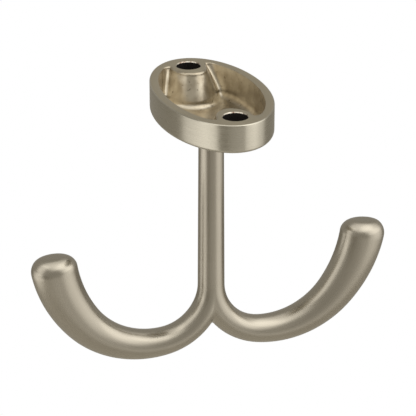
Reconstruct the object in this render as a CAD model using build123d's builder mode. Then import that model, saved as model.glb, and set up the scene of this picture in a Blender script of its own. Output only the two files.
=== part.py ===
"""Double ceiling hook: an oval hollow base, a stem and two swelling arms, cast in one piece.

Frame: +Z up towards the ceiling, z = 0 is the ceiling face, X along the two arms, Y along the oval base.
Sizes in millimetres.
"""
import os
from math import radians, tan

from build123d import *

# Oval base
base_length = 42.0
base_width = 23.0
wall_height = 5.8
dome_rise = 2.6
bottom_edge_radius = 0.8
rim_edge_break = 0.3

# Hollow of the base
rim_thickness = 1.9
floor_thickness = 1.5
floor_dish = 1.2
wall_draft = 5.0
floor_fillet = 0.8

# Screw bosses and holes
screw_pitch = 32.0
screw_hole_diameter = 5.0
boss_width = 7.5
boss_length = 10.4
boss_flank_angle = 14.0
boss_edge_break = 0.5
boss_foot_fillet = 1.2
boss_foot_lift = 0.2
pocket_end_offset = 0.4
pocket_end_angle = 20.0
head_recess_diameter = 7.8
head_recess_angle = 90.0

# Stem
stem_top_diameter = 5.2
stem_bottom_diameter = 5.6
stem_end_z = -42.6
stem_root_flare = 1.2

# Arms, from the stem outwards
first_bend_radius = 12.0
first_bend_angle = 81.5
second_bend_radius = 18.9
second_bend_angle = 59.5
third_bend_radius = 27.3
third_bend_angle = 35.0
tip_depth = 9.7
tip_width = 8.1
swell_start = 0.2
arm_stations = 8
tip_rounding = 3.0

# Working allowances
overcut = 1.0

# Values that follow from the sizes
half_length = base_length / 2
half_width = base_width / 2
dome_low = -(wall_height + dome_rise)
floor_low = dome_low + floor_thickness
floor_edge_z = floor_low + floor_dish
draft_slope = tan(radians(wall_draft))
hollow_half_width = half_width - rim_thickness + floor_edge_z * draft_slope
hollow_stretch = (half_length - rim_thickness) / (half_width - rim_thickness)
boss_flank_slope = tan(radians(boss_flank_angle))
boss_foot_z = floor_low + boss_foot_lift
boss_foot_radius = boss_width / 2 - boss_foot_z * boss_flank_slope
pocket_end_slope = tan(radians(pocket_end_angle))
stem_root_radius = stem_top_diameter / 2 + stem_root_flare
stem_root_z = dome_low + dome_rise * (stem_root_radius / half_width) ** 2
tip_least_curve = min(tip_width, tip_depth) ** 2 / max(tip_width, tip_depth) / 2
tip_fillet = min(tip_rounding, 0.9 * tip_least_curve)
head_recess_z = dome_low + dome_rise * (screw_pitch / base_length) ** 2


def swell(share):
    """Smooth growth from 0 to 1 along the arm, level until swell_start.

    Args:
        share: place along the arm, 0 at the stem and 1 at the tip.
    Returns:
        The share of the growth reached there.
    """
    place = max(0.0, (share - swell_start) / (1 - swell_start))
    return place * place * (3 - 2 * place)


# Screw boss: an oval cone that stands in the hollow, level with the rim, and the drafted ends of the
# two pockets between it and the oval wall, where the boss runs out into the end of the base
with BuildPart() as boss:
    with BuildSketch(Plane.XZ):
        with BuildLine():
            Polyline(
                (0, 0),
                (boss_width / 2, 0),
                (boss_foot_radius, boss_foot_z),
                (boss_foot_radius + boss_foot_fillet, boss_foot_z),
                (boss_foot_radius + boss_foot_fillet, dome_low),
                (0, dome_low),
                close=True,
            )
        make_face()
        boss_corners = vertices().group_by(Axis.Y)
        chamfer(boss_corners[-1].sort_by(Axis.X)[-1], length=boss_edge_break)
        fillet(boss_corners[1].sort_by(Axis.X)[0], radius=boss_foot_fillet)
    revolve(axis=Axis.Z)
    scale(by=(1, boss_length / boss_width, 1))
    with BuildSketch(Plane.YZ):
        with BuildLine():
            Polyline(
                (pocket_end_offset, 0),
                (half_length, 0),
                (half_length, dome_low),
                (pocket_end_offset + dome_low * pocket_end_slope, dome_low),
                close=True,
            )
        make_face()
    extrude(amount=half_width, both=True)

# Hollow of the base: a drafted, dished bowl stretched to the oval, less the bosses that stand in it
with BuildPart() as hollow:
    with BuildSketch(Plane.XZ):
        with BuildLine():
            floor_arc = ThreePointArc(
                (0, floor_low),
                (hollow_half_width / 2, floor_low + floor_dish / 4),
                (hollow_half_width, floor_edge_z),
            )
            Polyline(
                floor_arc @ 1,
                (hollow_half_width + (overcut - floor_edge_z) * draft_slope, overcut),
                (0, overcut),
                floor_arc @ 0,
            )
        make_face()
        fillet(vertices().sort_by_distance(floor_arc @ 1)[0], radius=floor_fillet)
    revolve(axis=Axis.Z)
    scale(by=(1, hollow_stretch, 1))
    with Locations((0, screw_pitch / 2), Location((0, -screw_pitch / 2), (0, 0, 180))):
        add(boss.part, mode=Mode.SUBTRACT)

# One arm: an oval section that swells along three tangent bends to a rounded tip
with BuildPart() as arm:
    with BuildLine(Plane.XZ) as arm_line:
        bend_1 = JernArc((0, stem_end_z), (0, -1), first_bend_radius, first_bend_angle)
        bend_2 = JernArc(bend_1 @ 1, bend_1 % 1, second_bend_radius, second_bend_angle)
        JernArc(bend_2 @ 1, bend_2 % 1, third_bend_radius, third_bend_angle)
    arm_wire = arm_line.wire()
    for station in range(arm_stations + 1):
        share = station / arm_stations
        width = stem_bottom_diameter + (tip_width - stem_bottom_diameter) * share
        depth = stem_bottom_diameter + (tip_depth - stem_bottom_diameter) * swell(share)
        with BuildSketch(Plane(arm_wire @ share, x_dir=(0, 1, 0), z_dir=arm_wire % share)):
            Ellipse(width / 2, depth / 2)
    sweep(path=arm_wire, multisection=True)
    fillet(arm.faces().filter_by(GeomType.PLANE).sort_by(Axis.X)[-1].edges(), radius=tip_fillet)
    split(bisect_by=Plane.YZ, keep=Keep.TOP)

# Base: a domed disc stretched to the oval, cut flat at the ceiling face
with BuildPart() as base:
    with BuildSketch(Plane.XZ):
        with BuildLine():
            dome_arc = ThreePointArc(
                (0, dome_low),
                (half_width / 2, dome_low + dome_rise / 4),
                (half_width, -wall_height),
            )
            Polyline(
                dome_arc @ 1,
                (half_width, -rim_edge_break),
                (half_width - rim_edge_break - overcut, overcut),
                (0, overcut),
                dome_arc @ 0,
            )
        make_face()
        fillet(vertices().sort_by_distance(dome_arc @ 1)[0], radius=bottom_edge_radius)
    revolve(axis=Axis.Z)
    scale(by=(1, base_length / base_width, 1))
    split(bisect_by=Plane.XY, keep=Keep.BOTTOM)

# The whole casting
with BuildPart() as ceiling_hook:
    add(base.part)
    with Locations(
        Plane((0, screw_pitch / 2, head_recess_z), x_dir=(1, 0, 0), z_dir=(0, 0, -1)),
        Plane((0, -screw_pitch / 2, head_recess_z), x_dir=(1, 0, 0), z_dir=(0, 0, -1)),
    ):
        CounterSinkHole(
            screw_hole_diameter / 2,
            head_recess_diameter / 2,
            depth=overcut - head_recess_z,
            counter_sink_angle=head_recess_angle,
        )
    with BuildSketch(Plane.XZ):
        with BuildLine():
            stem_side = Line(
                (stem_bottom_diameter / 2, stem_end_z),
                (stem_top_diameter / 2, stem_root_z - stem_root_flare),
            )
            root = Line(stem_side @ 1, (stem_root_radius, stem_root_z))
            Polyline(
                root @ 1,
                (stem_root_radius, dome_low + floor_thickness / 2),
                (0, dome_low + floor_thickness / 2),
                (0, stem_end_z),
                stem_side @ 0,
            )
        make_face()
    revolve(axis=Axis.Z)
    add(hollow.part, mode=Mode.SUBTRACT)
    add(arm.part)
    mirror(arm.part, about=Plane.YZ)

os.makedirs("parts", exist_ok=True)
ceiling_hook.part.label = "ceiling_hook"
export_step(ceiling_hook.part, "parts/ceiling_hook.step")
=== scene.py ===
"""Looks of a double ceiling hook: one satin-nickel casting in a plain studio.

Lengths are millimetres until a mesh is written, where they become metres. The frame is the casting's own:
z = 0 is the ceiling face, +Z points up to the ceiling, X runs along the two arms, Y along the oval base.
"""

import logging
import math
from abc import ABC, abstractmethod
from dataclasses import dataclass
from enum import Enum
from typing import Any

import bmesh
import bpy
import numpy as np
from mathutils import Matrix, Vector


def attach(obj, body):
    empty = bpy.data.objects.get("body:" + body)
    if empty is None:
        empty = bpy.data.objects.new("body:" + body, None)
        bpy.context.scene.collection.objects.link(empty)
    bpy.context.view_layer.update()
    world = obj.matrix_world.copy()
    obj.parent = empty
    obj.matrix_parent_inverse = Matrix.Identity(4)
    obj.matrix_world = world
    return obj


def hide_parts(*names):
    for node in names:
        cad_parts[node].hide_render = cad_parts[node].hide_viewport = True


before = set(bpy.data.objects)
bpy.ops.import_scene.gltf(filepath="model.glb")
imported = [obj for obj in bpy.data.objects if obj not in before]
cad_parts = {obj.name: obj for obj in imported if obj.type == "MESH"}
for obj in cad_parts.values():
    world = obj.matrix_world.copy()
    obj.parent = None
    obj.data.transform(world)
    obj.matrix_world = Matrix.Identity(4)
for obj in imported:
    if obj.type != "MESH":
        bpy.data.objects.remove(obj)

MM = 0.001
NODE = "ceiling_hook"
BODY = "root"
GRAIN = "grain"

# Points closer than this many millimetres are one point
MERGE_DISTANCE = 0.0005

# Divisors are kept above these
LEAST_REACH = 1e-9
LEAST_SLOPE = 1e-6

# Sines that make an edge ragged: waves to a turn, and phase
RAGGED_SINES = ((7.0, 0.6), (17.0, 0.0), (29.0, 1.9))

Array = np.ndarray
Tree = bpy.types.NodeTree
Socket = bpy.types.NodeSocket
Band = tuple[float, float]

log = logging.getLogger("ceiling_hook")


class CutRole(Enum):
    """What a cutting tool leaves behind, which says how the cut face is finished."""

    CAST = 1
    BORE = 2
    EDGE = 3


class Side(Enum):
    """The two halves of the casting, either side of the plane x = 0."""

    RIGHT = 1.0
    LEFT = -1.0


@dataclass(frozen=True)
class Grid:
    """A surface worked out on a grid of two parameters.

    Attributes:
        points: rows x columns x 3 places in millimetres.
        grain: rows x columns x 2 lengths in millimetres, across the brush lines and along them.
    """

    points: Array
    grain: Array

    def on(self, side: Side) -> "Grid":
        """The same surface on the given side of x = 0."""
        return Grid(self.points * (side.value, 1.0, 1.0), self.grain)


def smooth_step(share: Array) -> Array:
    """A soft rise from 0 to 1: three times the square less twice the cube, held level outside 0 to 1."""
    held = np.clip(share, 0.0, 1.0)
    return held * held * (3.0 - 2.0 * held)


def soft_max(first: Array, second: Array, softness: float) -> Array:
    """The greater of two fields, plus a quarter of softness times the square of their closeness."""
    closeness = np.clip(1.0 - np.abs(first - second) / softness, 0.0, None)
    return np.maximum(first, second) + closeness * closeness * softness / 4.0


def running_length(points: Array, axis: int) -> Array:
    """Length travelled over a grid of points, summed step by step along one axis of the grid.

    Args:
        points: rows x columns x 3 places.
        axis: 0 to travel down the rows, 1 to travel along the columns.
    Returns:
        rows x columns lengths, 0 at the middle column or at the first row.
    """
    steps = np.diff(points, axis=axis, prepend=np.take(points, [0], axis=axis))
    travelled = np.cumsum(np.linalg.norm(steps, axis=2), axis=axis)
    return travelled if axis == 0 else travelled - travelled[:, [points.shape[1] // 2]]


def grid_quads(rows: int, columns: int, flipped: bool) -> Array:
    """Corner numbers of the four-sided faces of a grid.

    Args:
        rows: rows of points.
        columns: columns of points.
        flipped: turns the faces round.
    Returns:
        faces x 4 corner numbers.
    """
    number = np.arange(rows * columns).reshape(rows, columns)
    corners = (number[:-1, :-1], number[1:, :-1], number[1:, 1:], number[:-1, 1:])
    quads = np.stack([corner.ravel() for corner in corners], axis=1)
    return quads[:, ::-1] if flipped else quads


def mesh_of(name: str, grids: list[tuple[Grid, bool]]) -> bpy.types.Mesh:
    """Writes grids into one mesh, in metres, with their grain as a UV map, and closes their seams.

    Args:
        name: name of the mesh.
        grids: each grid, and whether its faces are turned round.
    Returns:
        The mesh.
    """
    places, grains, quads, count = [], [], [], 0
    for grid, flipped in grids:
        rows, columns = grid.points.shape[:2]
        places.append(grid.points.reshape(-1, 3) * MM)
        grains.append(grid.grain.reshape(-1, 2))
        quads.append(grid_quads(rows, columns, flipped) + count)
        count += rows * columns
    corners = np.concatenate(quads)
    mesh = bpy.data.meshes.new(name)
    mesh.vertices.add(count)
    mesh.vertices.foreach_set("co", np.concatenate(places).astype(np.float32).ravel())
    mesh.loops.add(corners.size)
    mesh.loops.foreach_set("vertex_index", corners.astype(np.int32).ravel())
    mesh.polygons.add(len(corners))
    mesh.polygons.foreach_set("loop_start", np.arange(0, corners.size, 4, dtype=np.int32))
    layer = mesh.uv_layers.new(name=GRAIN)
    layer.data.foreach_set("uv", np.concatenate(grains)[corners.ravel()].astype(np.float32).ravel())
    mesh.update(calc_edges=True)
    close_seams(mesh)
    return mesh


def close_seams(mesh: bpy.types.Mesh) -> None:
    """Merges the doubled points along seams and at poles, and drops the faces that shrank to nothing.

    Args:
        mesh: the mesh that is closed.
    """
    work = bmesh.new()
    work.from_mesh(mesh)
    bmesh.ops.remove_doubles(work, verts=work.verts, dist=MERGE_DISTANCE * MM)
    bmesh.ops.dissolve_degenerate(work, edges=work.edges, dist=MERGE_DISTANCE * MM)
    work.to_mesh(mesh)
    work.free()
    mesh.update()


def turned_solid(profile: Array, centre_y: float, columns: int, ragged: float) -> Grid:
    """A closed solid of turning: the profile (radius, height) carried once round an upright axis.

    The place at angle a is radius times (cos a, sin a), moved along y, at the profile's height. A ragged
    solid's radius wanders by up to ragged, as the product of three sines of whole multiples of the angle.

    Args:
        profile: points x 2, radius and height, from the lower pole to the upper pole.
        centre_y: where its axis stands.
        columns: steps round the axis.
        ragged: how far the radius wanders, 0 for a true circle.
    Returns:
        The grid, with no brush lines.
    """
    angle = np.linspace(0.0, 2.0 * math.pi, columns + 1)
    wander = ragged * np.prod([np.sin(waves * angle + phase) for waves, phase in RAGGED_SINES], axis=0)
    height = profile[:, 1:]
    radius = profile[:, :1] + wander * (profile[:, :1] > 0.0)
    places = np.stack(
        np.broadcast_arrays(radius * np.cos(angle), centre_y + radius * np.sin(angle), height), axis=2
    )
    return Grid(places, np.zeros(places.shape[:2] + (2,)))


def arc(centre: Band, radius: float, start: float, end: float, steps: int) -> Array:
    """Points of an arc in the profile plane: centre plus radius times (cos, sin) of angles in degrees."""
    angle = np.radians(np.linspace(start, end, steps + 1))
    return np.stack((centre[0] + radius * np.cos(angle), centre[1] + radius * np.sin(angle)), axis=1)


def linear(hex_colour: str) -> tuple[float, float, float, float]:
    """Turns an sRGB hex colour into the linear colour that a shader takes.

    Args:
        hex_colour: six hex digits after a hash sign.
    Returns:
        Red, green, blue and alpha.
    """
    shares = np.array([int(hex_colour[i:i + 2], 16) for i in (1, 3, 5)]) / 255.0
    values = np.where(shares <= 0.04045, shares / 12.92, ((shares + 0.055) / 1.055) ** 2.4)
    return (*values.tolist(), 1.0)


def add_object(name: str, data: bpy.types.ID) -> bpy.types.Object:
    """Adds an object to the scene, at the origin.

    Args:
        name: name of the object.
        data: its mesh, camera or lamp.
    Returns:
        The object.
    """
    made = bpy.data.objects.new(name, data)
    bpy.context.scene.collection.objects.link(made)
    return made


def towards(bearing: float, height: float) -> Vector:
    """Unit direction at a bearing from -Y, positive towards +X, and a height over the horizon, in degrees."""
    turn, lift = math.radians(bearing), math.radians(height)
    return Vector((math.sin(turn) * math.cos(lift), -math.cos(turn) * math.cos(lift), math.sin(lift)))


def add_node(tree: Tree, kind: str, inputs: dict[Any, Any], **settings: Any) -> bpy.types.Node:
    """Adds a node, with its settings, its constant inputs and the links into it.

    Args:
        tree: the node tree.
        kind: type name of the node.
        inputs: a number, an sRGB hex colour or another node's socket, by the input's name or number.
        settings: the node's own properties.
    Returns:
        The node.
    """
    node = tree.nodes.new(kind)
    for name, value in settings.items():
        setattr(node, name, value)
    for name, value in inputs.items():
        if isinstance(value, Socket):
            tree.links.new(value, node.inputs[name])
        else:
            node.inputs[name].default_value = linear(value) if isinstance(value, str) else value
    return node


def object_noise(tree: Tree, size: float, detail: float) -> Socket:
    """Noise in object coordinates.

    Args:
        tree: the node tree.
        size: size of its patches, millimetres.
        detail: number of finer layers.
    Returns:
        The socket of its value, 0 to 1.
    """
    place = add_node(tree, "ShaderNodeTexCoord", {}).outputs["Object"]
    inputs = {"Vector": place, "Scale": 1.0 / (size * MM), "Detail": detail}
    return add_node(tree, "ShaderNodeTexNoise", inputs).outputs["Fac"]


def carried(tree: Tree, value: Socket, band: Band, ends: Band = (0.0, 1.0)) -> Socket:
    """Carries a band of values over to the band between two ends, held level outside it."""
    inputs = {"Value": value, "From Min": band[0], "From Max": band[1], "To Min": ends[0], "To Max": ends[1]}
    return add_node(tree, "ShaderNodeMapRange", inputs).outputs["Result"]


def blended(tree: Tree, share: Socket, first: str | Socket, second: str | Socket) -> Socket:
    """Mixes two colours, each an sRGB hex colour or a socket, by the share of the second."""
    mix = add_node(tree, "ShaderNodeMix", {"Factor": share, "A": first, "B": second}, data_type="RGBA")
    return next(socket for socket in mix.outputs if socket.type == "RGBA")


def bumped(tree: Tree, height: Socket, depth: float) -> Socket:
    """The normal of a surface with a relief of the given depth, in millimetres."""
    inputs = {"Height": height, "Strength": 1.0, "Distance": depth * MM}
    return add_node(tree, "ShaderNodeBump", inputs).outputs["Normal"]


def metal(tree: Tree, inputs: dict[str, Any]) -> Socket:
    """The surface of a metal, wholly metallic unless its inputs say otherwise."""
    return add_node(tree, "ShaderNodeBsdfPrincipled", {"Metallic": 1.0, **inputs}).outputs["BSDF"]


class Finish(ABC):
    """A finish, whose surface is drawn by shade and kept as a material under the finish's name."""

    name: str

    @abstractmethod
    def shade(self, tree: Tree) -> Socket:
        """Draws the surface into a material's node tree, and gives its socket."""

    def material(self) -> bpy.types.Material:
        """Builds the material.

        Returns:
            The material, named for the finish.
        """
        made = bpy.data.materials.new(self.name)
        made.use_nodes = True
        made.node_tree.nodes.clear()
        add_node(made.node_tree, "ShaderNodeOutputMaterial", {"Surface": self.shade(made.node_tree)})
        return made


@dataclass(frozen=True)
class SatinNickel(Finish):
    """Satin nickel plate on zinc, brushed or ground before plating.

    The plate gives a warm grey mirror that fine brush lines blur into soft bands of light. The lines really
    are a few hundredths of a millimetre apart, and are drawn coarser, so that they show as a faint streak.
    """

    name: str = "satin_nickel_plate_brushed"
    # tone and deep_tone are lighter than the bars' tones of the same plate: painted light that brightens the
    # base wall's bands
    tone: str = "#BEB8A9"
    deep_tone: str = "#B6B0A1"
    roughness: float = 0.29
    roughness_spread: float = 0.04
    anisotropy: float = 0.65
    line_spacing: float = 0.22
    line_length: float = 9.0
    line_depth: float = 0.0008
    line_detail: float = 3.0
    line_harshness: float = 0.6
    line_band: Band = (0.3, 0.7)
    cloud_size: float = 9.0
    cloud_detail: float = 2.0

    def shade(self, tree: Tree) -> Socket:
        """Draws brush lines along the grain, over faint clouds of tone.

        Args:
            tree: the material's node tree.
        Returns:
            The socket of the surface.
        """
        grain = add_node(tree, "ShaderNodeUVMap", {}, uv_map=GRAIN)
        stretched = add_node(
            tree, "ShaderNodeMapping",
            {"Vector": grain.outputs["UV"], "Scale": (1.0 / self.line_spacing, 1.0 / self.line_length, 1.0)},
        )
        lines = add_node(
            tree, "ShaderNodeTexNoise",
            {
                "Vector": stretched.outputs["Vector"], "Scale": 1.0, "Detail": self.line_detail,
                "Roughness": self.line_harshness,
            },
            noise_dimensions="2D",
        ).outputs["Fac"]
        clouds = object_noise(tree, self.cloud_size, self.cloud_detail)
        ends = (self.roughness - self.roughness_spread, self.roughness + self.roughness_spread)
        across = add_node(tree, "ShaderNodeTangent", {}, direction_type="UV_MAP", uv_map=GRAIN)
        return metal(tree, {
            "Base Color": blended(tree, clouds, self.deep_tone, self.tone),
            "Roughness": carried(tree, lines, self.line_band, ends),
            "Normal": bumped(tree, lines, self.line_depth),
            "Anisotropic": self.anisotropy,
            "Tangent": across.outputs["Tangent"],
        })


@dataclass(frozen=True)
class CastNickel(Finish):
    """Nickel plate on the zinc as it left the mould, never brushed.

    Inside the hollow the plate is thin and warm, smooth enough to shine, and follows the small waves and
    specks of the casting.
    """

    name: str = "nickel_plate_as_cast"
    tone: str = "#C0B7A4"
    deep_tone: str = "#A49985"
    speck_tone: str = "#6A5E4E"
    roughness: float = 0.30
    wave_size: float = 2.6
    wave_depth: float = 0.05
    wave_detail: float = 3.0
    wave_band: Band = (0.35, 0.65)
    speck_size: float = 0.9
    speck_detail: float = 2.0
    speck_band: Band = (0.66, 0.74)
    speck_strength: float = 0.7

    def shade(self, tree: Tree) -> Socket:
        """Draws waves of tone and relief, with dark specks on them.

        Args:
            tree: the material's node tree.
        Returns:
            The socket of the surface.
        """
        waves = object_noise(tree, self.wave_size, self.wave_detail)
        specks = object_noise(tree, self.speck_size, self.speck_detail)
        plain = blended(tree, carried(tree, waves, self.wave_band), self.deep_tone, self.tone)
        dirt = carried(tree, specks, self.speck_band, (0.0, self.speck_strength))
        return metal(tree, {
            "Base Color": blended(tree, dirt, plain, self.speck_tone),
            "Roughness": self.roughness,
            "Normal": bumped(tree, waves, self.wave_depth),
        })


@dataclass(frozen=True)
class PaintedShadeBore(Finish):
    """The drilled bore, dull and rough, its tone painted near black: painted shade of the deep, narrow hole,
    so a hole reads as black.
    """

    name: str = "zinc_bore_painted_shade"
    # Near-black tones: painted shade of the deep hole
    tone: str = "#2B2522"
    deep_tone: str = "#171311"
    roughness: float = 0.6
    metal_share: float = 0.6
    groove_spacing: float = 0.3
    groove_detail: float = 2.0

    def shade(self, tree: Tree) -> Socket:
        """Draws the drill's grooves as a change of tone between two near-black tones of painted shade."""
        grooves = object_noise(tree, self.groove_spacing, self.groove_detail)
        return metal(tree, {
            "Base Color": blended(tree, grooves, self.deep_tone, self.tone),
            "Metallic": self.metal_share,
            "Roughness": self.roughness,
        })


@dataclass(frozen=True)
class DrilledEdge(Finish):
    """Nickel plate over the edge that a drill left: bright and thin, rust brown where it has worn through."""

    name: str = "nickel_plate_drilled_edge"
    tone: str = "#C2BBAD"
    worn_tone: str = "#7E6353"
    roughness: float = 0.28
    wear_size: float = 0.7
    wear_detail: float = 3.0
    wear_band: Band = (0.48, 0.62)

    def shade(self, tree: Tree) -> Socket:
        """Draws the plate with its worn patches."""
        wear = carried(tree, object_noise(tree, self.wear_size, self.wear_detail), self.wear_band)
        return metal(tree, {
            "Base Color": blended(tree, wear, self.tone, self.worn_tone),
            "Roughness": self.roughness,
        })


@dataclass(frozen=True)
class StagePaper(Finish):
    """Matt studio paper. A glowing sheet looks plain white to the camera and in the metal."""

    name: str
    tone: str
    glowing: bool = False

    def shade(self, tree: Tree) -> Socket:
        """Draws the paper.

        Args:
            tree: the material's node tree.
        Returns:
            The socket of the surface.
        """
        matt = add_node(tree, "ShaderNodeBsdfDiffuse", {"Color": self.tone}).outputs["BSDF"]
        if not self.glowing:
            return matt
        path = add_node(tree, "ShaderNodeLightPath", {})
        seen = path.outputs["Is Camera Ray"]
        for ray in ("Is Glossy Ray", "Is Transmission Ray"):
            seen = add_node(
                tree, "ShaderNodeMath", {0: seen, 1: path.outputs[ray]}, operation="MAXIMUM"
            ).outputs[0]
        white = add_node(tree, "ShaderNodeEmission", {"Strength": 1.0}).outputs[0]
        return add_node(tree, "ShaderNodeMixShader", {0: seen, 1: matt, 2: white}).outputs[0]


@dataclass(frozen=True)
class Rod:
    """The stem and one arm: a bar that leaves the base, bends out three times and swells to a rounded tip."""

    stem_top_radius: float = 2.6
    stem_bottom_radius: float = 2.8
    stem_end_z: float = -42.6
    bend_radii: tuple[float, ...] = (12.0, 18.9, 27.3)
    bend_turns: tuple[float, ...] = (81.5, 59.5, 35.0)
    tip_half_depth: float = 4.85
    tip_half_width: float = 4.05
    swell_start: float = 0.2
    tip_rounding: float = 3.0
    crotch_softness: float = 0.45
    crotch_fade: float = 5.0
    stem_rows: int = 28
    fork_rows: int = 60
    arm_rows: int = 130
    tip_rows: int = 12
    flat_rows: int = 4
    notch_samples: int = 4000

    @property
    def arm_length(self) -> float:
        """Length of the arm's middle line, from the end of the stem to the tip."""
        return float(np.dot(self.bend_radii, np.radians(self.bend_turns)))

    def middle_line(self, along: Array) -> tuple[Array, Array]:
        """The arm's middle line: three circular bends, each tangent to the last.

        On a bend the place is the bend's centre less its radius times the inward normal, and the normal
        (cos h, sin h) turns with the heading h, which grows by length over radius.

        Args:
            along: lengths from the end of the stem.
        Returns:
            Places (x, z) and inward normals (x, z).
        """
        radii = np.array(self.bend_radii)
        turns = np.radians(self.bend_turns)
        starts = np.concatenate(([0.0], np.cumsum(radii * turns)[:-1]))
        headings = np.concatenate(([0.0], np.cumsum(turns)[:-1]))
        normals = np.stack((np.cos(headings), np.sin(headings)), axis=1)
        shifts = np.diff(radii, prepend=0.0)[:, None] * normals
        centres = np.cumsum(shifts, axis=0) + (0.0, self.stem_end_z)
        bend = np.clip(np.searchsorted(starts, along, side="right") - 1, 0, len(radii) - 1)
        heading = headings[bend] + (along - starts[bend]) / radii[bend]
        normal = np.stack((np.cos(heading), np.sin(heading)), axis=1)
        return centres[bend] - radii[bend, None] * normal, normal

    def growth(self, along: Array) -> Array:
        """Share of the swelling reached along the arm, a soft step from swell_start to the tip."""
        return smooth_step((along / self.arm_length - self.swell_start) / (1.0 - self.swell_start))

    def half_sizes(self, along: Array) -> tuple[Array, Array]:
        """Half depth, in the plane of the bends, and half width, across it, along the arm.

        The width grows evenly, and the depth with the swelling.

        Args:
            along: lengths from the end of the stem.
        Returns:
            Half depths and half widths.
        """
        thin = self.stem_bottom_radius
        depth = thin + (self.tip_half_depth - thin) * self.growth(along)
        width = thin + (self.tip_half_width - thin) * (along / self.arm_length)
        return depth, width

    def softness(self, along: Array) -> Array:
        """How wide the soft valley between the two arms is, growing from nothing where they start to part."""
        return self.crotch_softness * smooth_step(along / self.crotch_fade)

    def notch(self) -> float:
        """Length along the arm at which the whole oval section first clears the valley between the arms.

        Returns:
            The length, from the end of the stem.
        """
        along = np.linspace(0.0, self.bend_radii[0], self.notch_samples)
        place, normal = self.middle_line(along)
        clear = place[:, 0] - self.half_sizes(along)[0] * normal[:, 0] - self.softness(along) / 2.0
        last = np.nonzero(clear < 0.0)[0][-1]
        return float(np.interp(0.0, clear[last:last + 2], along[last:last + 2]))

    def stem_grid(self, top: Array, columns: int) -> Grid:
        """The stem's right half: half circles whose radius changes evenly from the given top row to its end.

        Args:
            top: columns x 3 places of the row that the stem hangs from.
            columns: points round the half circle.
        Returns:
            The grid, brushed lengthways.
        """
        angle = np.linspace(-1.0, 1.0, columns) * math.pi / 2.0
        share = np.linspace(0.0, 1.0, self.stem_rows)[:, None]
        foot = np.stack(
            (np.cos(angle), np.sin(angle), np.zeros(columns)), axis=1
        ) * self.stem_bottom_radius + (0.0, 0.0, self.stem_end_z)
        places = top[None] + (foot - top)[None] * share[:, :, None]
        places[:, [0, -1], 0] = 0.0
        return Grid(places, np.stack((running_length(places, 1), running_length(places, 0)), axis=2))

    def arm_grid(self, columns: int) -> Grid:
        """The right arm: an oval section carried along the middle line, rounded over and closed at the tip.

        A point of a section is the middle line plus half depth times cos a along the inward normal, plus half
        width times sin a across. Between the arms only the part right of the valley is kept: a runs to the
        angle where x equals half the softness, and x is then eased by the root of softness times
        (2x - softness), which meets x = 0 level, so that the two arms blend. At the tip the section shrinks
        round a quarter circle and then to a point.

        Args:
            columns: points round the section.
        Returns:
            The grid, brushed lengthways.
        """
        notch = self.notch()
        length = self.arm_length
        body_end = length - self.tip_rounding
        turn = np.linspace(0.0, math.pi / 2.0, self.tip_rows)[1:]
        body = np.concatenate((
            np.linspace(0.0, notch, self.fork_rows),
            np.linspace(notch, body_end, self.arm_rows)[1:],
        ))
        rounding = self.tip_rounding
        along = np.concatenate((body, body_end + rounding * np.sin(turn), np.full(self.flat_rows, length)))
        inset = np.concatenate((
            np.zeros(len(body)), rounding * (1.0 - np.cos(turn)), np.full(self.flat_rows, rounding),
        ))
        shrink = np.ones(len(along))
        shrink[-self.flat_rows:] = np.linspace(1.0, 0.0, self.flat_rows + 1)[1:]
        place, normal = self.middle_line(along)
        half_depth, half_width = self.half_sizes(along)
        half_depth = (half_depth - inset) * shrink
        half_width = (half_width - inset) * shrink
        softness = self.softness(along)
        reach = half_depth * normal[:, 0]
        edge = (softness / 2.0 - place[:, 0]) / np.where(np.abs(reach) < LEAST_REACH, LEAST_REACH, reach)
        widest = np.where(along < notch, np.arccos(np.clip(edge, -1.0, 1.0)), math.pi)
        angle = np.linspace(-1.0, 1.0, columns)[None] * widest[:, None]
        depth = half_depth[:, None] * np.cos(angle)
        x = place[:, :1] + depth * normal[:, :1]
        wide = softness[:, None]
        eased = np.sqrt(np.clip(wide * (2.0 * x - wide), 0.0, None))
        x = np.where(x < wide, eased, x)
        x[along < notch] *= np.r_[0.0, np.ones(columns - 2), 0.0]
        z = place[:, 1:] + depth * normal[:, 1:]
        places = np.stack((x, half_width[:, None] * np.sin(angle), z), axis=2)
        lengthways = np.broadcast_to((along - self.stem_end_z)[:, None], x.shape)
        return Grid(places, np.stack((running_length(places, 1), lengthways), axis=2))


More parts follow.
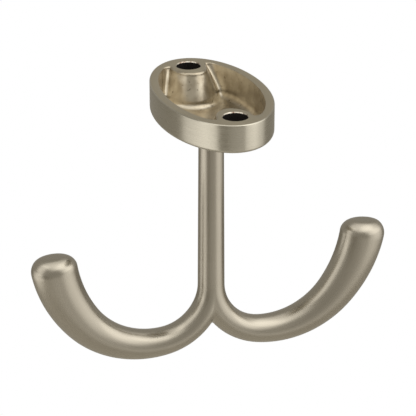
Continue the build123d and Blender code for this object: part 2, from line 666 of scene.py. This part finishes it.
@dataclass(frozen=True)
class OvalBase:
    """The oval base: a shallow cup, open to the ceiling, with a domed underside and two screw bosses."""

    half_length: float = 21.0
    half_width: float = 11.5
    wall_height: float = 5.8
    dome_rise: float = 2.6
    bottom_edge_radius: float = 0.8
    rim_edge_radius: float = 0.3
    rim_thickness: float = 1.9
    inner_edge_radius: float = 0.2
    floor_thickness: float = 1.4
    floor_dish: float = 1.35
    floor_rise: float = 0.3
    wall_draft: float = 5.0
    floor_fillet: float = 1.4
    screw_pitch: float = 32.0
    hole_radius: float = 2.5
    hole_edge: float = 0.17
    hole_ragged: float = 0.05
    boss_half_width: float = 3.75
    boss_half_length: float = 5.2
    boss_flank_angle: float = 17.0
    boss_edge_radius: float = 0.6
    boss_foot_fillet: float = 1.3
    pocket_end_offset: float = 0.4
    pocket_end_angle: float = 25.0
    pocket_softness: float = 0.8
    head_recess_radius: float = 3.9
    stem_fillet: float = 1.2
    overcut: float = 1.0
    lip: float = 0.02
    top_rows: int = 4
    wall_rows: int = 8
    dome_rows: int = 22
    round_rows: int = 8
    flank_rows: int = 14
    wall_columns: int = 44
    boss_columns: int = 36
    wall_bunching: float = 1.7
    boss_bunching: float = 1.5
    ray_fans: tuple[tuple[float, float, int], ...] = ((0.0, 55.0, 160), (55.0, 82.0, 1600), (82.0, 90.0, 120))
    ray_reach: Band = (4.5, 21.0)
    ray_steps: int = 420

    @property
    def dome_low(self) -> float:
        """Height of the lowest point of the domed underside."""
        return -(self.wall_height + self.dome_rise)

    @property
    def dome_radius(self) -> float:
        """Radius of the underside's arc, from its half width and its rise."""
        return (self.half_width ** 2 + self.dome_rise ** 2) / (2.0 * self.dome_rise)

    def dome_height(self, reach: Array) -> Array:
        """Height of the underside at a reach from the middle, measured as if the oval were a circle."""
        return self.dome_low + self.dome_radius - np.sqrt(self.dome_radius ** 2 - reach ** 2)

    def skin_grid(self, stem_radius: float, columns: int) -> Grid:
        """The right half of the outside, from the middle of the ceiling face to the top of the stem.

        Each row is half an oval (p cos a, q sin a) at a height. The rows go out across the ceiling face,
        round the rim's edge, down the wall, round the bottom edge, in along the dome, where the oval changes
        evenly to a circle, and down the fillet at the root of the stem.

        Args:
            stem_radius: radius of the stem under its fillet.
            columns: points round half of the oval.
        Returns:
            The grid, brushed round the oval.
        """
        angle = np.linspace(-1.0, 1.0, columns) * math.pi / 2.0
        stretch = self.half_length / self.half_width
        rim = self.rim_edge_radius
        flat = np.linspace(0.0, 1.0, self.top_rows)[:-1]
        turn = np.radians(np.linspace(90.0, 0.0, self.round_rows))
        inner = self.dome_radius - self.bottom_edge_radius
        edge_x = self.half_width - self.bottom_edge_radius
        dome_centre = self.dome_low + self.dome_radius
        edge_z = dome_centre - math.sqrt(inner ** 2 - edge_x ** 2)
        edge_end = -math.degrees(math.asin((dome_centre - edge_z) / inner))
        edge = arc((edge_x, edge_z), self.bottom_edge_radius, 0.0, edge_end, self.round_rows)
        wall_z = np.linspace(-rim, edge_z, self.wall_rows)[1:-1]
        half_p, half_q = (
            np.concatenate((
                flat * (half - rim), half - rim * (1.0 - np.cos(turn)), np.full(len(wall_z), half),
                edge[:, 0] * (half / self.half_width),
            )) for half in (self.half_width, self.half_length)
        )
        height = np.concatenate((np.zeros(len(flat)), rim * (np.sin(turn) - 1.0), wall_z, edge[:, 1]))
        upper = np.stack(np.broadcast_arrays(
            half_p[:, None] * np.cos(angle), half_q[:, None] * np.sin(angle), height[:, None]
        ), axis=2)
        share = np.append(np.linspace(0.0, 1.0, self.dome_rows)[1:], np.ones(self.round_rows))[:, None]
        root = np.radians(np.linspace(0.0, 90.0, self.round_rows + 1))[1:]
        root = np.append(np.zeros(self.dome_rows - 1), root)[:, None]
        ring = stem_radius + self.stem_fillet * (1.0 - np.sin(root))
        drop = self.stem_fillet * (1.0 - np.cos(root))
        x = (1.0 - share) * edge[-1, 0] * np.cos(angle) + share * ring * np.cos(angle)
        y = (1.0 - share) * edge[-1, 0] * stretch * np.sin(angle) + share * ring * np.sin(angle)
        lower = np.stack((x, y, self.dome_height(np.hypot(x, y / stretch)) - drop), axis=2)
        places = np.concatenate((upper, lower))
        places[:, [0, -1], 0] = 0.0
        across = running_length(places, 0)
        from_rim = across - across[[self.top_rows - 1]]
        return Grid(places, np.stack((from_rim, running_length(places, 1)), axis=2))

    def floor_height(self, x: Array, y: Array) -> Array:
        """Height of the floor: its lowest point, plus the dish and the rise times squares of the way out.

        Args:
            x: places across the oval.
            y: places along the oval.
        Returns:
            Heights.
        """
        mouth = self.half_width - self.rim_thickness
        reach = self.half_length - self.rim_thickness
        low = self.dome_low + self.floor_thickness
        return low + self.floor_dish * (x / mouth) ** 2 + self.floor_rise * (y / reach) ** 2

    def hollow_gaps(self, x: Array, y: Array, slack: Array) -> tuple[Array, ...]:
        """How far a place in plan lies outside the oval wall, beyond the end of a pocket, and outside a boss.

        A gap to an oval is s (s - 1) over the length of s times its own slope, where s is the root of
        (x / half width) squared plus (y / half length) squared.

        Args:
            x: places along x, 0 or more.
            y: places along y, 0 or more.
            slack: by how much the wall, the boss and the pocket end stand back from their lines at the rim.
        Returns:
            Gaps to the wall and to the pocket's end, below 0 in the hollow, and to the boss, above 0 there.
        """
        wall, boss, end = slack
        inset = self.rim_thickness
        from_screw = y - self.screw_pitch / 2.0
        ovals = (
            (x, y, self.half_width - inset + wall, self.half_length - inset + wall),
            (x, from_screw, self.boss_half_width - boss, self.boss_half_length - boss),
        )
        gaps = []
        for across, along, half_x, half_y in ovals:
            share = np.hypot(across / half_x, along / half_y)
            slope = np.hypot(across / half_x ** 2, along / half_y ** 2)
            gaps.append(share * (share - 1.0) / np.maximum(slope, LEAST_SLOPE))
        return gaps[0], from_screw - self.pocket_end_offset - end, gaps[1]

    def hollow_outline(self, slack: Array) -> Array:
        """A quarter of the hollow's outline in plan at one depth, from the side wall to the boss's front.

        Along each ray from the middle, the outline is the first place where the soft greater-of the gaps to
        the wall and to the pocket's end, and of the gap to the boss turned round, rises through 0. The points
        are then spread by length, and bunched at the middle of the pocket's end, which is as far from the
        wall as from the boss.

        Args:
            slack: as for hollow_gaps.
        Returns:
            Points x 2, x and y.
        """
        fans = [np.linspace(*fan) for fan in self.ray_fans]
        angle = np.radians(np.concatenate((fans[0][:1], *(fan[1:] for fan in fans))))[:, None]
        reach = np.linspace(*self.ray_reach, self.ray_steps)[None]
        wall, end, boss = self.hollow_gaps(reach * np.cos(angle), reach * np.sin(angle), slack)
        level = soft_max(soft_max(wall, end, self.pocket_softness), -boss, self.pocket_softness)
        after = np.argmax(level > 0.0, axis=1)
        row = np.arange(len(angle))
        before, beyond = level[row, after - 1], level[row, after]
        hit = reach[0, after - 1] - before * (reach[0, after] - reach[0, after - 1]) / (beyond - before)
        points = hit[:, None] * np.concatenate((np.cos(angle), np.sin(angle)), axis=1)
        travelled = np.concatenate(([0.0], np.cumsum(np.linalg.norm(np.diff(points, axis=0), axis=1))))
        wall, _, boss = self.hollow_gaps(points[:, 0], points[:, 1], slack)
        tip = travelled[np.argmax(boss + wall < 0.0)]
        near = 1.0 - (1.0 - np.linspace(0.0, 1.0, self.wall_columns)) ** self.wall_bunching
        far = np.linspace(0.0, 1.0, self.boss_columns)[1:] ** self.boss_bunching
        wanted = np.concatenate((tip * near, tip + (travelled[-1] - tip) * far))
        outline = np.stack([np.interp(wanted, travelled, points[:, axis]) for axis in (0, 1)], axis=1)
        outline[0, 1] = outline[-1, 0] = 0.0
        return outline

    def hollow_grid(self) -> Grid:
        """The hollow as a closed solid: outlines in plan at growing heights, from the floor to above the rim.

        The floor is the lowest outline drawn in to the middle. Above it come the fillets at the foot of wall
        and boss, the drafted flanks and the rounded edges at the rim. Each outline's points take their height
        from the dished floor and from radii that change softly from the boss's to the wall's.

        Returns:
            The grid, with no brush lines.
        """
        # The flanks lean from the floor's depth half way from the middle to a screw
        depth = -float(self.floor_height(np.array(0.0), np.array(self.screw_pitch / 4.0)))
        lean = np.tan(np.radians((self.wall_draft, self.boss_flank_angle, self.pocket_end_angle)))
        foot = np.array((self.floor_fillet, self.boss_foot_fillet, self.floor_fillet))
        brow = np.array((self.inner_edge_radius, self.boss_edge_radius, self.inner_edge_radius))
        quarter = np.radians(np.linspace(0.0, 90.0, self.round_rows + 1))
        flank = np.linspace(1.0, 0.0, self.flank_rows + 2)[1:-1]
        rows = []
        for turn in quarter[::-1]:
            slack = -depth * lean - foot * (1.0 - math.cos(turn))
            rows.append((slack, 1.0 - math.sin(turn), 1.0, 0.0))
        for share in flank:
            rows.append((-depth * lean * share, 1.0, share, 1.0))
        for turn in quarter:
            rows.append((brow * (1.0 - math.cos(turn)), 0.0, 0.0, 1.0 - math.sin(turn)))
        places = []
        for slack, foot_share, floor_share, brow_share in rows:
            plan = self.hollow_outline(slack)
            wall, _, boss = self.hollow_gaps(plan[:, 0], plan[:, 1], slack)
            on_wall = smooth_step(0.5 + (boss + wall) / (4.0 * self.pocket_softness))
            foot_radius = foot[1] + (foot[0] - foot[1]) * on_wall
            brow_radius = brow[1] + (brow[0] - brow[1]) * on_wall
            floor = self.floor_height(plan[:, 0], plan[:, 1]) + foot_radius * foot_share
            top = self.lip - brow_radius * brow_share
            height = floor * floor_share + top * (1.0 - floor_share)
            places.append(np.column_stack((plan, height)))
        share = np.linspace(0.0, 1.0, self.dome_rows)[:-1, None]
        drawn_in = places[0][None, :, :2] * share[:, :, None]
        floor_rows = np.concatenate(
            (drawn_in, self.floor_height(drawn_in[:, :, :1], drawn_in[:, :, 1:])), axis=2
        )
        sides = np.stack(places)
        cap = np.stack([sides[-1] * (1.0, 1.0, 0.0), sides[-1] * 0.0]) + (0.0, 0.0, self.overcut)
        first = np.concatenate((floor_rows, sides, cap))
        second = (first * (-1.0, 1.0, 1.0))[:, ::-1]
        half = np.concatenate((first, second[:, 1:]), axis=1)
        turned = half * (-1.0, -1.0, 1.0)
        whole = np.concatenate((half, turned[:, 1:]), axis=1)
        return Grid(whole, np.zeros(whole.shape[:2] + (2,)))

    def edge_profile(self) -> Array:
        """Radius and height of the bevel that breaks a screw hole's edge, from its point upwards."""
        wide = self.hole_radius + self.hole_edge + self.lip
        return np.array(((0.0, self.lip - wide), (wide, self.lip), (wide, self.overcut), (0.0, self.overcut)))

    def hole_profile(self) -> Array:
        """Radius and height of a screw hole: a head recess from below, a cone and a bore.

        Returns:
            Points x 2, from below the dome to above the ceiling face.
        """
        recess_z = self.dome_low + self.dome_rise * (self.screw_pitch / 2.0 / self.half_length) ** 2
        cone_z = recess_z + self.head_recess_radius - self.hole_radius
        below = self.dome_low - self.overcut
        return np.array((
            (0.0, below), (self.head_recess_radius, below), (self.head_recess_radius, recess_z),
            (self.hole_radius, cone_z), (self.hole_radius, self.overcut), (0.0, self.overcut),
        ))

    def screw_places(self) -> tuple[float, float]:
        """Where the two screws stand along y."""
        return -self.screw_pitch / 2.0, self.screw_pitch / 2.0


@dataclass
class CeilingHook:
    """The whole casting: the base's skin, the stem and both arms in one closed mesh, hollowed and drilled."""

    base: OvalBase = OvalBase()
    rod: Rod = Rod()
    # The base's skin takes the lighter default tones: painted light on the wall, since the bars and base
    # share one plate
    skin: SatinNickel = SatinNickel()
    # Brushed along the bars: the gleam runs the length of the stem and arms with softer ends
    rod_skin: SatinNickel = SatinNickel(
        name="satin_nickel_plate_brushed_lengthways", tone="#AEA799", deep_tone="#A69F91",
        anisotropy=0.2, line_depth=0.0003,
    )
    # Ground flat on a belt: matt, so that the rim reads as one even tone
    land: SatinNickel = SatinNickel(
        name="satin_nickel_plate_ground_flat", tone="#B9B09B", deep_tone="#B1A893",
        roughness=0.45, anisotropy=0.3,
    )
    cast: CastNickel = CastNickel()
    # The bore's near-black tone is painted shade inside the screw holes
    bore: PaintedShadeBore = PaintedShadeBore()
    edge: DrilledEdge = DrilledEdge()
    name: str = "ceiling_hook_casting"
    columns: int = 97
    tool_columns: int = 192
    crease_angle: float = 32.0
    flat_share: float = 0.99

    def solid_mesh(self) -> bpy.types.Mesh:
        """The casting before it is hollowed: the right half's grids and their mirror images, closed at x = 0.

        Returns:
            The closed mesh.
        """
        skin = self.base.skin_grid(self.rod.stem_top_radius, self.columns)
        stem = self.rod.stem_grid(skin.points[-1], self.columns)
        arm = self.rod.arm_grid(self.columns)
        grids = [(grid.on(side), side is Side.LEFT) for side in Side for grid in (skin, stem, arm)]
        return mesh_of(self.name, grids)

    def tool(self, name: str, grid: Grid, role: CutRole) -> bpy.types.Object:
        """A closed cutting tool, finished as the face that it leaves.

        Args:
            name: name of the tool.
            grid: its surface, from the lower pole to the upper pole.
            role: which finish the cut face gets.
        Returns:
            The tool's object.
        """
        mesh = mesh_of(name, [(grid, True)])
        finish = {CutRole.CAST: self.cast, CutRole.BORE: self.bore, CutRole.EDGE: self.edge}[role]
        mesh.materials.append(bpy.data.materials.get(finish.name) or finish.material())
        return add_object(name, mesh)

    def cut(self, piece: bpy.types.Object, tool: bpy.types.Object) -> None:
        """Takes a tool's solid out of a piece and removes the tool.

        Args:
            piece: what is cut.
            tool: the closed solid that is taken out.
        """
        modifier = piece.modifiers.new("cut", "BOOLEAN")
        modifier.operation = "DIFFERENCE"
        modifier.solver = "EXACT"
        modifier.material_mode = "TRANSFER"
        modifier.object = tool
        graph = bpy.context.evaluated_depsgraph_get()
        made = bpy.data.meshes.new_from_object(
            piece.evaluated_get(graph), preserve_all_data_layers=True, depsgraph=graph
        )
        piece.modifiers.clear()
        piece.data = made
        bpy.data.objects.remove(tool)

    def dress(self, mesh: bpy.types.Mesh) -> None:
        """Gives the rod and the flat rim their own finishes, by where the faces of the brushed skin lie.

        Args:
            mesh: the finished casting's mesh.
        """
        faces = mesh.polygons
        middle, facing = np.empty((2, len(faces) * 3), dtype=np.float32)
        index = np.empty(len(faces), dtype=np.int32)
        for name, store in (("center", middle), ("normal", facing), ("material_index", index)):
            faces.foreach_get(name, store)
        height, up = middle[2::3] / MM, facing[2::3]
        brushed = index == 0
        rod_top = self.base.dome_low - self.base.stem_fillet / 2.0
        for finish, chosen in (
            (self.rod_skin, brushed & (height < rod_top)),
            (self.land, brushed & (height > -self.base.lip) & (up > self.flat_share)),
        ):
            index[chosen] = len(mesh.materials)
            mesh.materials.append(finish.material())
        faces.foreach_set("material_index", index)

    def build(self) -> bpy.types.Object:
        """Builds the casting, dresses it, and puts it on its body in place of the plain solid.

        Returns:
            The casting's object.
        """
        base = self.base
        piece = add_object(self.name, self.solid_mesh())
        piece.data.materials.append(self.skin.material())
        self.cut(piece, self.tool("hollow_tool", base.hollow_grid(), CutRole.CAST))
        for number, place in enumerate(base.screw_places()):
            for name, profile, role, ragged in (
                ("edge", base.edge_profile(), CutRole.EDGE, base.hole_ragged),
                ("hole", base.hole_profile(), CutRole.BORE, 0.0),
            ):
                grid = turned_solid(profile, place, self.tool_columns, ragged)
                self.cut(piece, self.tool(f"{name}_tool_{number}", grid, role))
        mesh = piece.data
        mesh.name = self.name
        mesh.polygons.foreach_set("use_smooth", np.ones(len(mesh.polygons), dtype=bool))
        mesh.set_sharp_from_angle(angle=math.radians(self.crease_angle))
        self.dress(mesh)
        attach(piece, BODY)
        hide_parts(NODE)
        return piece


@dataclass(frozen=True)
class SoftBox:
    """A rectangular studio lamp that faces the object.

    Attributes:
        name: name of the lamp.
        bearing: degrees round from the camera's side of the object, positive to the camera's right.
        height: degrees above the horizon.
        distance: metres from the object.
        width: metres.
        tall: metres.
        radiance: brightness of the middle of its face, where 1 is white.
        spread: degrees over which its grid lets the light out, which fades the face towards its edges.
    """

    name: str
    bearing: float
    height: float
    distance: float
    width: float
    tall: float
    radiance: float
    spread: float = 120.0

    @property
    def energy(self) -> float:
        """Watts for the radiance: pi times the area, less what the grid adds by gathering the light."""
        half = math.radians(self.spread / 2.0)
        return self.radiance * math.pi * self.width * self.tall * (1.0 - half / math.tan(half))


@dataclass(frozen=True)
class Studio:
    """Camera, lamps, floor and backdrop. The camera stands where the photograph was taken from."""

    azimuth: float = -17.104
    elevation: float = 22.578
    distance: float = 468.9
    aside: float = -0.645
    aim_z: float = -25.69
    focal_pixels: float = 2279.4
    image_pixels: float = 416.0
    sensor: float = 36.0
    clip: Band = (0.01, 20.0)
    floor_z: float = -600.0
    floor_reach: float = 4000.0
    backdrop_distance: float = 900.0
    backdrop_margin: float = 1.15
    world_tone: str = "#B2AFA8"
    floor: StagePaper = StagePaper("studio_floor_paper", "#D0CDC6")
    backdrop: StagePaper = StagePaper("studio_backdrop_paper", "#FFFFFF", glowing=True)
    lamps: tuple[SoftBox, ...] = (
        SoftBox("right_box", 80.0, -4.0, 0.85, 1.25, 1.40, 1.12, 105.0),
        SoftBox("right_upper_box", 79.0, 42.0, 0.80, 1.40, 1.10, 1.25, 110.0),
        SoftBox("left_low_box", -73.0, -25.0, 0.85, 0.98, 0.72, 1.14, 110.0),
        SoftBox("left_box", -60.0, 30.0, 0.85, 0.60, 1.40, 1.10),
        SoftBox("top_box", 35.0, 75.0, 0.80, 1.25, 1.25, 1.12),
        SoftBox("front_fill", 38.0, -28.0, 0.85, 2.00, 0.60, 0.30),
        SoftBox("low_fill", -12.0, -46.0, 0.85, 2.40, 0.55, 0.22),
    )

    def axes(self) -> tuple[Vector, Vector]:
        """The camera's right-hand direction, and the direction from the object back to the camera."""
        turn = math.radians(self.azimuth)
        return Vector((math.cos(turn), math.sin(turn), 0.0)), towards(self.azimuth, self.elevation)

    def aim(self) -> Vector:
        """The point that the camera looks at, in metres."""
        return Vector((0.0, 0.0, self.aim_z * MM)) + self.axes()[0] * self.aside * MM

    def set_camera(self) -> None:
        """Makes the camera."""
        back = self.axes()[1]
        data = bpy.data.cameras.new("camera")
        data.sensor_width = self.sensor
        data.lens = self.focal_pixels / self.image_pixels * self.sensor
        data.clip_start, data.clip_end = self.clip
        camera = add_object("camera", data)
        camera.location = self.aim() + back * self.distance * MM
        camera.rotation_euler = (-back).to_track_quat("-Z", "Y").to_euler()
        bpy.context.scene.camera = camera

    def sheet(
        self, name: str, across: Vector, up: Vector, middle: Vector, reach: float, paper: StagePaper
    ) -> None:
        """A flat square sheet: the middle plus u times one edge direction plus v times the other.

        Args:
            name: name of the sheet.
            across: unit direction of one edge.
            up: unit direction of the other edge; the sheet faces across times up.
            middle: its middle, metres.
            reach: half of its side, metres.
            paper: its finish.
        """
        share = np.linspace(-1.0, 1.0, 3) * reach / MM
        places = (
            np.array(middle) / MM
            + share[None, :, None] * np.array(across) + share[:, None, None] * np.array(up)
        )
        mesh = mesh_of(name, [(Grid(places, np.zeros((3, 3, 2))), True)])
        mesh.materials.append(paper.material())
        made = add_object(name, mesh)

    def set_stage(self) -> None:
        """Lays the floor and hangs the backdrop square to the camera, behind the object."""
        right, back = self.axes()
        east, north = Vector((1.0, 0.0, 0.0)), Vector((0.0, 1.0, 0.0))
        floor_middle = Vector((0.0, 0.0, self.floor_z * MM))
        self.sheet("studio_floor", east, north, floor_middle, self.floor_reach * MM, self.floor)
        away = (self.distance + self.backdrop_distance) * MM
        reach = away * self.image_pixels / 2.0 / self.focal_pixels * self.backdrop_margin
        middle = self.aim() - back * self.backdrop_distance * MM
        self.sheet("studio_backdrop", right, back.cross(right), middle, reach, self.backdrop)

    def set_lamps(self) -> None:
        """Hangs the soft boxes round the object, each facing it, and sets the room's even light."""
        for box in self.lamps:
            outwards = towards(self.azimuth + box.bearing, box.height)
            data = bpy.data.lights.new(box.name, "AREA")
            data.shape = "RECTANGLE"
            data.size, data.size_y = box.width, box.tall
            data.spread = math.radians(box.spread)
            data.energy = box.energy
            lamp = add_object(box.name, data)
            lamp.location = self.aim() + outwards * box.distance
            lamp.rotation_euler = (-outwards).to_track_quat("-Z", "Y").to_euler()
            lamp.visible_camera = False
        world = bpy.data.worlds.new("studio_room")
        world.use_nodes = True
        world.node_tree.nodes.clear()
        room = add_node(world.node_tree, "ShaderNodeBackground", {"Color": self.world_tone})
        add_node(world.node_tree, "ShaderNodeOutputWorld", {"Surface": room.outputs["Background"]})
        bpy.context.scene.world = world

    def build(self) -> None:
        """Builds the whole studio."""
        self.set_camera()
        self.set_stage()
        self.set_lamps()
        bpy.context.scene.view_settings.view_transform = "Standard"


def main() -> None:
    """Builds the casting and the studio."""
    logging.basicConfig(level=logging.INFO, format="%(name)s: %(message)s")
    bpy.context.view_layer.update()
    piece = CeilingHook().build()
    log.info("%s: %d points, %d faces", piece.name, len(piece.data.vertices), len(piece.data.polygons))
    Studio().build()


if __name__ == "__main__":
    main()
